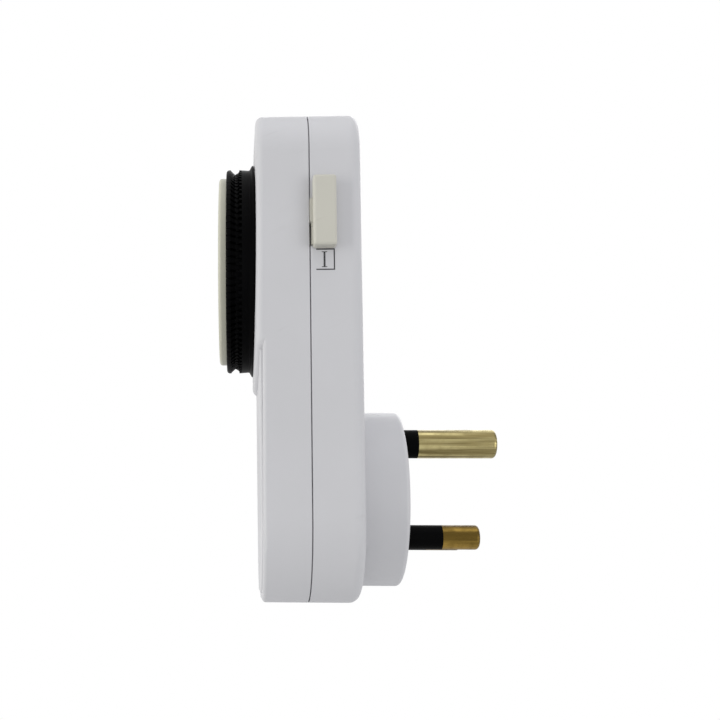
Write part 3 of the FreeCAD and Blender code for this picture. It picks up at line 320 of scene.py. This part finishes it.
def turned_metal(name, light, shade, tarnish, rough):
    """Turned or drawn metal: tool lines, dull patches and bands along it that mix a light and a shade tone; on the
    pins' brass these bands are a painted reflection.
    """
    material, tree, shader, place = new_material(name)
    texture = use_group(tree, TURNED_LINES, place)
    marks = use_group(tree, HANDLING_MARKS, place, Amount=0.6)
    # The bands between light and shade: a painted reflection of dark surroundings where the two tones are far
    # apart, as on the pins; a mild drawing mark elsewhere
    tone = blend_colours(tree, texture.outputs["Streak And Reflection Band"], light, shade)
    tone = blend_colours(tree, maths(tree, "MULTIPLY", texture.outputs["Tarnish"], 0.55), tone, tarnish)
    link(tree, tone, shader.inputs["Base Color"])
    dull = spread(tree, texture.outputs["Tarnish"], 0.0, 1.0, rough - 0.05, rough + 0.12)
    dull = maths(tree, "ADD", dull, maths(tree, "MULTIPLY", marks.outputs["Mask"], 0.15))
    link(tree, dull, shader.inputs["Roughness"])
    shader.inputs["Metallic"].default_value = 1.0
    add_bump(tree, shader, texture.outputs["Height"], strength=0.2, distance=0.02)
    return material


def printed_ink(name, colour):
    """Pad printed ink, slightly uneven in tone and gloss."""
    material, tree, shader, place = new_material(name)
    texture = use_group(tree, MOULDED_GRAIN, place, Grain_Scale=5200.0, Cloud_Scale=700.0)
    paler = tuple(min(1.0, c * 1.8 + 0.01) for c in colour)
    tone = blend_colours(tree, texture.outputs["Mottle"], colour, paler)
    link(tree, tone, shader.inputs["Base Color"])
    rough = spread(tree, texture.outputs["Mottle"], 0.0, 1.0, to_low=0.45, to_high=0.6)
    link(tree, rough, shader.inputs["Roughness"])
    return material


FINISHES = {
    "housing_grey": plastic(
        "housing plastic",
        light=(0.535, 0.535, 0.562),
        shade=(0.52, 0.52, 0.545),
        scuff=(0.46, 0.46, 0.48),
        rough=0.50,
        grain=0.18,
        wear=0.25,
        specular=0.35,
    ),
    "number_cream": plastic(
        "number plate plastic",
        light=(0.50, 0.495, 0.415),
        shade=(0.48, 0.475, 0.395),
        scuff=(0.41, 0.40, 0.33),
        rough=0.45,
        grain=0.12,
        specular=0.3,
    ),
    "slider_ivory": plastic(
        "slider plastic",
        light=(0.51, 0.50, 0.45),
        shade=(0.49, 0.48, 0.43),
        scuff=(0.44, 0.43, 0.38),
        rough=0.45,
        grain=0.12,
        specular=0.35,
    ),
    "dial_black": plastic(
        "dial plastic",
        light=(0.0014, 0.0014, 0.0016),
        shade=(0.002, 0.002, 0.0023),
        scuff=(0.008, 0.008, 0.009),
        rough=0.45,
        grain=0.12,
        specular=0.02,
    ),
    "collar_black": plastic(
        "sleeve plastic",
        light=(0.0014, 0.0014, 0.0016),
        shade=(0.002, 0.002, 0.0022),
        scuff=(0.008, 0.008, 0.008),
        rough=0.5,
        grain=0.1,
        specular=0.02,
    ),
    # The earth pin's shade tone is a painted reflection of a dark band, laid along the pin
    "earth_brass": turned_metal(
        "earth pin brass",
        light=(0.49, 0.425, 0.21),
        shade=(0.165, 0.132, 0.056),
        tarnish=(0.22, 0.18, 0.078),
        rough=0.35,
    ),
    # The line pins' shade tone is a painted reflection of a dark band, laid along the pins
    "line_brass": turned_metal(
        "line pin brass",
        light=(0.25, 0.162, 0.037),
        shade=(0.095, 0.061, 0.014),
        tarnish=(0.10, 0.065, 0.015),
        rough=0.44,
    ),
    "strap_brass": turned_metal(
        "strap brass",
        light=(0.78, 0.60, 0.28),
        shade=(0.70, 0.52, 0.24),
        tarnish=(0.50, 0.37, 0.18),
        rough=0.28,
    ),
    "contact_silver": turned_metal(
        "contact silver",
        light=(0.86, 0.85, 0.82),
        shade=(0.78, 0.77, 0.74),
        tarnish=(0.5, 0.5, 0.48),
        rough=0.3,
    ),
    "zinc_steel": turned_metal(
        "zinc plated steel",
        light=(0.70, 0.71, 0.74),
        shade=(0.60, 0.61, 0.64),
        tarnish=(0.42, 0.42, 0.44),
        rough=0.3,
    ),
    "motor_steel": turned_metal(
        "motor steel",
        light=(0.62, 0.63, 0.64),
        shade=(0.55, 0.56, 0.57),
        tarnish=(0.4, 0.4, 0.41),
        rough=0.38,
    ),
    "spring_steel": turned_metal(
        "spring steel",
        light=(0.58, 0.58, 0.60),
        shade=(0.5, 0.5, 0.52),
        tarnish=(0.3, 0.3, 0.31),
        rough=0.25,
    ),
    "chassis_plastic": plastic(
        "chassis plastic",
        light=(0.78, 0.78, 0.74),
        shade=(0.74, 0.74, 0.70),
        scuff=(0.62, 0.62, 0.58),
        rough=0.45,
    ),
    "carrier_brown": plastic(
        "phenolic moulding",
        light=(0.075, 0.038, 0.022),
        shade=(0.05, 0.026, 0.016),
        scuff=(0.14, 0.09, 0.06),
        rough=0.35,
    ),
    "gear_nylon": plastic(
        "gear nylon",
        light=(0.82, 0.81, 0.76),
        shade=(0.78, 0.77, 0.71),
        scuff=(0.66, 0.65, 0.60),
        rough=0.38,
    ),
    "copper_wire": turned_metal(
        "enamelled copper",
        light=(0.72, 0.32, 0.15),
        shade=(0.6, 0.25, 0.11),
        tarnish=(0.4, 0.16, 0.08),
        rough=0.3,
    ),
    "magnet_dark": plastic(
        "bonded magnet",
        light=(0.05, 0.05, 0.055),
        shade=(0.035, 0.035, 0.04),
        scuff=(0.1, 0.1, 0.1),
        rough=0.55,
    ),
    "lead_insulation": plastic(
        "lead insulation",
        light=(0.45, 0.05, 0.04),
        shade=(0.38, 0.04, 0.032),
        scuff=(0.3, 0.04, 0.035),
        rough=0.4,
    ),
}
INK = printed_ink("black ink", (0.015, 0.015, 0.017))


def dress_cad_nodes():
    """Gives every CAD node the finish of its slot in the record."""
    for entry in frame["record"]["subparts"]:
        piece = OBJECT_NODES[entry["node"]]
        finish = FINISHES[entry["material_slot"]]
        if not piece.material_slots:
            piece.data.materials.append(finish)
        for holder in piece.material_slots:
            holder.material = finish


def place_mesh(name, mesh, body, material):
    """A finished piece at the origin, riding on a body."""
    piece = bpy.data.objects.new(name, mesh)
    bpy.context.scene.collection.objects.link(piece)
    mesh.materials.clear()
    mesh.materials.append(material)
    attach(piece, body)
    return piece


def flat_form(builder, outline, low, high):
    """Adds a thin form to a bmesh: an outline of points pushed from one height to another."""
    base = [builder.verts.new((x, y, low)) for x, y in outline]
    top = [builder.verts.new((x, y, high)) for x, y in outline]
    count = len(outline)
    builder.faces.new(list(reversed(base)))
    builder.faces.new(top)
    for i in range(count):
        j = (i + 1) % count
        builder.faces.new((base[i], base[j], top[j], top[i]))


def mesh_of(name, outlines, matrix):
    """A print's thin forms, drawn in millimetres, sunk a little and placed by a matrix in metres."""
    builder = bmesh.new()
    for outline in outlines:
        flat_form(builder, outline, -PRINT_SINK, PRINT_THICK)
    bmesh.ops.recalc_face_normals(builder, faces=builder.faces)
    mesh = bpy.data.meshes.new(name)
    builder.to_mesh(mesh)
    builder.free()
    mesh.transform(matrix @ Matrix.Scale(MM, 4))
    return mesh


def facing(right, up, origin):
    """The matrix of a drawing plane with the given right and up directions. The origin is in millimetres."""
    across, upward = Vector(right), Vector(up)
    out = across.cross(upward)
    turn = Matrix((across, upward, out)).transposed().to_4x4()
    return Matrix.Translation(Vector(origin) * MM) @ turn


def bar(x_low, x_high, y_low, y_high):
    """A rectangle as an outline."""
    return [(x_low, y_low), (x_high, y_low), (x_high, y_high), (x_low, y_high)]


def around(radius, degrees):
    """The point at a radius and an angle round the origin."""
    angle = math.radians(degrees)
    return (radius * math.cos(angle), radius * math.sin(angle))


def arc_band(inner, outer, start, stop, steps):
    """A band of a ring as an outline, in degrees."""
    angles = [start + (stop - start) * i / steps for i in range(steps + 1)]
    return [around(outer, a) for a in angles] + [around(inner, a) for a in reversed(angles)]


def serif_letter(x, z_low, z_high, half_stem=0.26, half_serif=0.75, thin=0.2):
    """The outline parts of a capital I with thin serifs."""
    return [
        bar(x - half_stem, x + half_stem, z_low + thin, z_high - thin),
        bar(x - half_serif, x + half_serif, z_low, z_low + thin),
        bar(x - half_serif, x + half_serif, z_high - thin, z_high),
    ]


def bracket(x_low, x_high, z_low, z_high, stroke):
    """Three sides of a frame, open on the low x side."""
    return [
        bar(x_low, x_high, z_high - stroke, z_high),
        bar(x_low, x_high, z_low, z_low + stroke),
        bar(x_high - stroke, x_high, z_low + stroke, z_high - stroke),
    ]


def side_prints():
    """The always-on mark below the slider and the clock mark above it, in the shell's side."""
    plane = facing((1, 0, 0), (0, 0, 1), (0, WALL_Y, 0))
    on_mark = bracket(MARK_LEFT_X, MARK_RIGHT_X, ON_MARK_LOW_Z, CAP_FOOT_Z, MARK_STROKE)
    on_mark += serif_letter(MARK_MIDDLE_X, ON_LETTER_LOW_Z, ON_LETTER_HIGH_Z)
    mesh = mesh_of("on_mark", on_mark, plane)
    place_mesh("on_mark", mesh, "housing", INK)
    clock = bracket(MARK_LEFT_X, MARK_RIGHT_X, TIMER_MARK_LOW_Z, TIMER_MARK_HIGH_Z, MARK_STROKE)
    centre_z = (TIMER_MARK_LOW_Z + TIMER_MARK_HIGH_Z) / 2
    quarters = (0, 90, 180, 270)
    face = [arc_band(CLOCK_INNER_R, CLOCK_OUTER_R, start, start + 90, steps=8) for start in quarters]
    hands = [
        bar(-HAND_HALF_WIDTH, HAND_HALF_WIDTH, -HAND_TAIL, LONG_HAND),
        bar(-HAND_TAIL, SHORT_HAND, -HAND_HALF_WIDTH, HAND_HALF_WIDTH),
    ]
    for outline in face + hands:
        clock.append([(x + MARK_MIDDLE_X, z + centre_z) for x, z in outline])
    mesh = mesh_of("timer_mark", clock, plane)
    place_mesh("timer_mark", mesh, "housing", INK)


def hour_numbers():
    """The hour numbers on the number plate, rising anticlockwise as the user sees them."""
    parts = bmesh.new()
    for hour in range(1, HOURS + 1):
        curve = bpy.data.curves.new("hour", "FONT")
        curve.body = str(hour)
        curve.size = HOUR_HEIGHT
        curve.align_x = "CENTER"
        curve.align_y = "CENTER"
        curve.resolution_u = 3
        curve.extrude = PRINT_THICK / 2
        text = bpy.data.objects.new("hour", curve)
        bpy.context.scene.collection.objects.link(text)
        shape = bpy.data.meshes.new_from_object(text.evaluated_get(bpy.context.evaluated_depsgraph_get()))
        bpy.data.objects.remove(text)
        shape.transform(Matrix.Translation((0, HOUR_RADIUS, 0)))
        shape.transform(Matrix.Rotation(math.radians(360 / HOURS * hour), 4, "Z"))
        parts.from_mesh(shape)
        bpy.data.meshes.remove(shape)
    mesh = bpy.data.meshes.new("hour_numbers")
    bmesh.ops.remove_doubles(parts, verts=parts.verts, dist=MERGE_GAP)
    parts.to_mesh(mesh)
    parts.free()
    plane = facing((0, -1, 0), (0, 0, 1), (PLATE_FRONT_X - PRINT_THICK / 2, 0, DIAL_Z))
    mesh.transform(plane @ Matrix.Scale(MM, 4))
    place_mesh("hour_numbers", mesh, "dial", INK)


def hub_arrow():
    """The still arrow on the hub cap that points at the time of day, and the turning mark below it."""
    plane = facing((0, -1, 0), (0, 0, 1), (HUB_FRONT_X, 0, DIAL_Z))
    head = [(-ARROW_HALF_WIDTH, ARROW_NECK), (ARROW_HALF_WIDTH, ARROW_NECK), (0, ARROW_TOP)]
    shaft = bar(-SHAFT_HALF_WIDTH, SHAFT_HALF_WIDTH, ARROW_FOOT, ARROW_NECK)
    turn_arc = arc_band(TURN_INNER_R, TURN_OUTER_R, TURN_START, TURN_STOP, steps=18)
    turn_tip = [around(TIP_INNER_R, TURN_STOP), around(TIP_OUTER_R, TURN_STOP), around(TIP_R, TIP_AT)]
    mesh = mesh_of("hub_arrow", [head, shaft, turn_arc, turn_tip], plane)
    place_mesh("hub_arrow", mesh, "housing", INK)


def geometry_tree(name, inputs):
    """A geometry node tree with named number inputs and a geometry output."""
    tree = bpy.data.node_groups.new(name, "GeometryNodeTree")
    tree.interface.new_socket(name="Geometry", in_out="INPUT", socket_type="NodeSocketGeometry")
    kinds = {"count": "NodeSocketInt", "size": "NodeSocketFloat", "material": "NodeSocketMaterial"}
    for label, kind in inputs:
        tree.interface.new_socket(name=label, in_out="INPUT", socket_type=kinds[kind])
    tree.interface.new_socket(name="Geometry", in_out="OUTPUT", socket_type="NodeSocketGeometry")
    return tree, tree.nodes.new("NodeGroupInput"), tree.nodes.new("NodeGroupOutput")


def finish_tree(tree, source, result, geometry):
    """Ends a tree: real geometry with its material."""
    realise = tree.nodes.new("GeometryNodeRealizeInstances")
    paint = tree.nodes.new("GeometryNodeSetMaterial")
    link(tree, geometry, realise.inputs[0])
    link(tree, realise.outputs[0], paint.inputs["Geometry"])
    link(tree, source.outputs["Material"], paint.inputs["Material"])
    link(tree, paint.outputs["Geometry"], result.inputs["Geometry"])


def grown_mesh(name, tree, values):
    """The plain mesh that a tree makes with the given input values."""
    holder = bpy.data.objects.new(name, bpy.data.meshes.new(name + "_seed"))
    bpy.context.scene.collection.objects.link(holder)
    modifier = holder.modifiers.new("grow", "NODES")
    modifier.node_group = tree
    sockets = {s.name: s.identifier for s in tree.interface.items_tree if s.in_out == "INPUT"}
    for label, value in values.items():
        modifier[sockets[label]] = value
    bpy.context.view_layer.update()
    seen = holder.evaluated_get(bpy.context.evaluated_depsgraph_get())
    mesh = bpy.data.meshes.new_from_object(seen)
    mesh.name = name
    bpy.data.objects.remove(holder)
    return mesh


def make_tick_ring():
    """Ticks standing out round a circle in the plane of the number plate."""
    tree, source, result = geometry_tree(
        "tick ring",
        [("Count", "count"), ("Radius", "size"), ("Length", "size"), ("Width", "size"),
         ("Thickness", "size"), ("Material", "material")],
    )
    ring = tree.nodes.new("GeometryNodeMeshCircle")
    link(tree, source.outputs["Count"], ring.inputs["Vertices"])
    link(tree, source.outputs["Radius"], ring.inputs["Radius"])
    block = tree.nodes.new("GeometryNodeMeshCube")
    size = tree.nodes.new("ShaderNodeCombineXYZ")
    for label, axis in (("Length", "X"), ("Width", "Y"), ("Thickness", "Z")):
        link(tree, source.outputs[label], size.inputs[axis])
    link(tree, size.outputs[0], block.inputs["Size"])
    place = tree.nodes.new("GeometryNodeInputPosition")
    aim = tree.nodes.new("FunctionNodeAlignRotationToVector")
    aim.axis = "X"
    aim.pivot_axis = "Z"
    link(tree, place.outputs[0], aim.inputs["Vector"])
    scatter = tree.nodes.new("GeometryNodeInstanceOnPoints")
    link(tree, ring.outputs["Mesh"], scatter.inputs["Points"])
    link(tree, block.outputs["Mesh"], scatter.inputs["Instance"])
    link(tree, aim.outputs["Rotation"], scatter.inputs["Rotation"])
    finish_tree(tree, source, result, scatter.outputs["Instances"])
    return tree


def make_wound_spring():
    """A wire wound up along Z at an even pitch."""
    tree, source, result = geometry_tree(
        "wound spring",
        [("Turns", "size"), ("Radius", "size"), ("Height", "size"), ("Wire", "size"),
         ("Material", "material")],
    )
    spiral = tree.nodes.new("GeometryNodeCurveSpiral")
    spiral.inputs["Resolution"].default_value = 20
    link(tree, source.outputs["Turns"], spiral.inputs["Rotations"])
    link(tree, source.outputs["Radius"], spiral.inputs["Start Radius"])
    link(tree, source.outputs["Radius"], spiral.inputs["End Radius"])
    link(tree, source.outputs["Height"], spiral.inputs["Height"])
    wire = tree.nodes.new("GeometryNodeCurvePrimitiveCircle")
    wire.inputs["Resolution"].default_value = 10
    link(tree, source.outputs["Wire"], wire.inputs["Radius"])
    sweep = tree.nodes.new("GeometryNodeCurveToMesh")
    sweep.inputs["Fill Caps"].default_value = True
    link(tree, spiral.outputs["Curve"], sweep.inputs["Curve"])
    link(tree, wire.outputs["Curve"], sweep.inputs["Profile Curve"])
    finish_tree(tree, source, result, sweep.outputs["Mesh"])
    return tree


def dial_ticks(tree):
    """The hour and quarter hour ticks on the number plate."""
    plane = facing((0, -1, 0), (0, 0, 1), (PLATE_FRONT_X, 0, DIAL_Z))
    for name, count, radius, length, width in (
        ("hour_ticks", HOURS, 25.4, 3.2, 0.45),
        ("quarter_ticks", 4 * HOURS, 26.4, 1.2, 0.22),
    ):
        mesh = grown_mesh(name, tree, {
            "Count": count, "Radius": radius * MM, "Length": length * MM, "Width": width * MM,
            "Thickness": PRINT_THICK * MM, "Material": INK})
        mesh.transform(plane)
        place_mesh(name, mesh, "dial", INK)


def wound_springs(tree):
    """Real turns in place of the two plain spring tubes."""
    for node, joint, turns, keep in (
        ("lever_spring", "lever_tilt", 7.0, 0.93),
        ("shutter_spring", "shutter_slide", 11.0, 0.41),
    ):
        low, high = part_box(node)
        wire = SPRING_WIRE_R * MM
        centre_x = (low.x + high.x) / 2
        centre_y = (low.y + high.y) / 2
        radius = (high.x - low.x) / 2 - wire
        steel = FINISHES["spring_steel"]
        mesh = grown_mesh(node + "_wire", tree, {
            "Turns": turns, "Radius": radius, "Height": high.z - low.z - 2 * wire,
            "Wire": wire, "Material": steel})
        mesh.transform(Matrix.Translation((centre_x, centre_y, low.z + wire)))
        piece = place_mesh(node + "_wire", mesh, "housing", steel)
        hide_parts(node)
        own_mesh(piece)


def clear_rays(tree):
    """A mask of the rays that should meet a white background: seen, mirrored or let through."""
    ray = tree.nodes.new("ShaderNodeLightPath")
    clear = maths(tree, "MAXIMUM", ray.outputs["Is Camera Ray"], ray.outputs["Is Transmission Ray"])
    return maths(tree, "MAXIMUM", clear, ray.outputs["Is Glossy Ray"])


def room():
    """A pale floor far below the timer and a white world behind it, with soft lamps."""
    builder = bmesh.new()
    bmesh.ops.create_grid(builder, x_segments=1, y_segments=1, size=FLOOR_HALF)
    mesh = bpy.data.meshes.new("floor")
    builder.to_mesh(mesh)
    builder.free()
    mesh.transform(Matrix.Translation((0, 0, FLOOR_Z)))
    floor = bpy.data.objects.new("floor", mesh)
    bpy.context.scene.collection.objects.link(floor)
    material = bpy.data.materials.new("pale floor")
    material.use_nodes = True
    tree = material.node_tree
    shader = tree.nodes["Principled BSDF"]
    shader.inputs["Base Color"].default_value = (FLOOR_GREY, FLOOR_GREY, FLOOR_GREY, 1)
    shader.inputs["Roughness"].default_value = 0.9
    shader.inputs["Emission Color"].default_value = (1, 1, 1, 1)
    glow = maths(tree, "MULTIPLY", clear_rays(tree), FLOOR_GLOW)
    link(tree, glow, shader.inputs["Emission Strength"])
    mesh.materials.append(material)

    world = bpy.data.worlds.new("white room")
    bpy.context.scene.world = world
    world.use_nodes = True
    tree = world.node_tree
    tree.nodes.clear()
    output = tree.nodes.new("ShaderNodeOutputWorld")
    seen = tree.nodes.new("ShaderNodeBackground")
    seen.inputs["Color"].default_value = (1, 1, 1, 1)
    light = tree.nodes.new("ShaderNodeBackground")
    light.inputs["Color"].default_value = (*WORLD_TINT, 1)
    light.inputs["Strength"].default_value = WORLD_STRENGTH
    pick = tree.nodes.new("ShaderNodeMixShader")
    link(tree, clear_rays(tree), pick.inputs[0])
    link(tree, light.outputs[0], pick.inputs[1])
    link(tree, seen.outputs[0], pick.inputs[2])
    link(tree, pick.outputs[0], output.inputs["Surface"])

    for name, place, size, power, colour in (
        ("top_lamp", (0.1, -0.3, 1.2), 1.3, 4.8, (1.0, 1.0, 1.0)),
        ("key_lamp", (-1.03, -0.30, 0.05), 0.8, 6.8, (1.0, 0.99, 0.92)),
        ("right_lamp", (0.80, -0.83, -0.08), 0.7, 4.0, (1.0, 1.0, 0.96)),
        ("back_lamp", (0.3, 0.9, 0.5), 0.8, 3.5, (1.0, 1.0, 1.0)),
    ):
        lamp = bpy.data.lights.new(name, "AREA")
        lamp.color = colour
        lamp.size = size
        lamp.energy = power
        holder = bpy.data.objects.new(name, lamp)
        bpy.context.scene.collection.objects.link(holder)
        holder.location = place
        direction = Vector(LAMP_AIM) - Vector(place)
        holder.rotation_euler = direction.to_track_quat("-Z", "Y").to_euler()


def camera():
    """The photograph's camera: close to the side, level with the timer's foot, looking slightly up."""
    lens = bpy.data.cameras.new("camera")
    lens.sensor_width = CAMERA_SENSOR
    lens.lens = CAMERA_LENS
    lens.shift_x, lens.shift_y = CAMERA_SHIFT
    lens.clip_start = 0.01
    holder = bpy.data.objects.new("camera", lens)
    bpy.context.scene.collection.objects.link(holder)
    turn = (
        Matrix.Rotation(CAMERA_PAN, 4, "Z")
        @ Matrix.Rotation(CAMERA_PITCH, 4, "X")
        @ Matrix.Rotation(CAMERA_ROLL, 4, "Y")
        @ Matrix.Rotation(math.pi / 2, 4, "X")
    )
    holder.matrix_world = Matrix.Translation(Vector(CAMERA_PLACE) * MM) @ turn
    bpy.context.scene.camera = holder


bpy.context.scene.view_settings.view_transform = "Standard"
dress_cad_nodes()
side_prints()
hour_numbers()
hub_arrow()
dial_ticks(make_tick_ring())
wound_springs(make_wound_spring())
room()
camera()
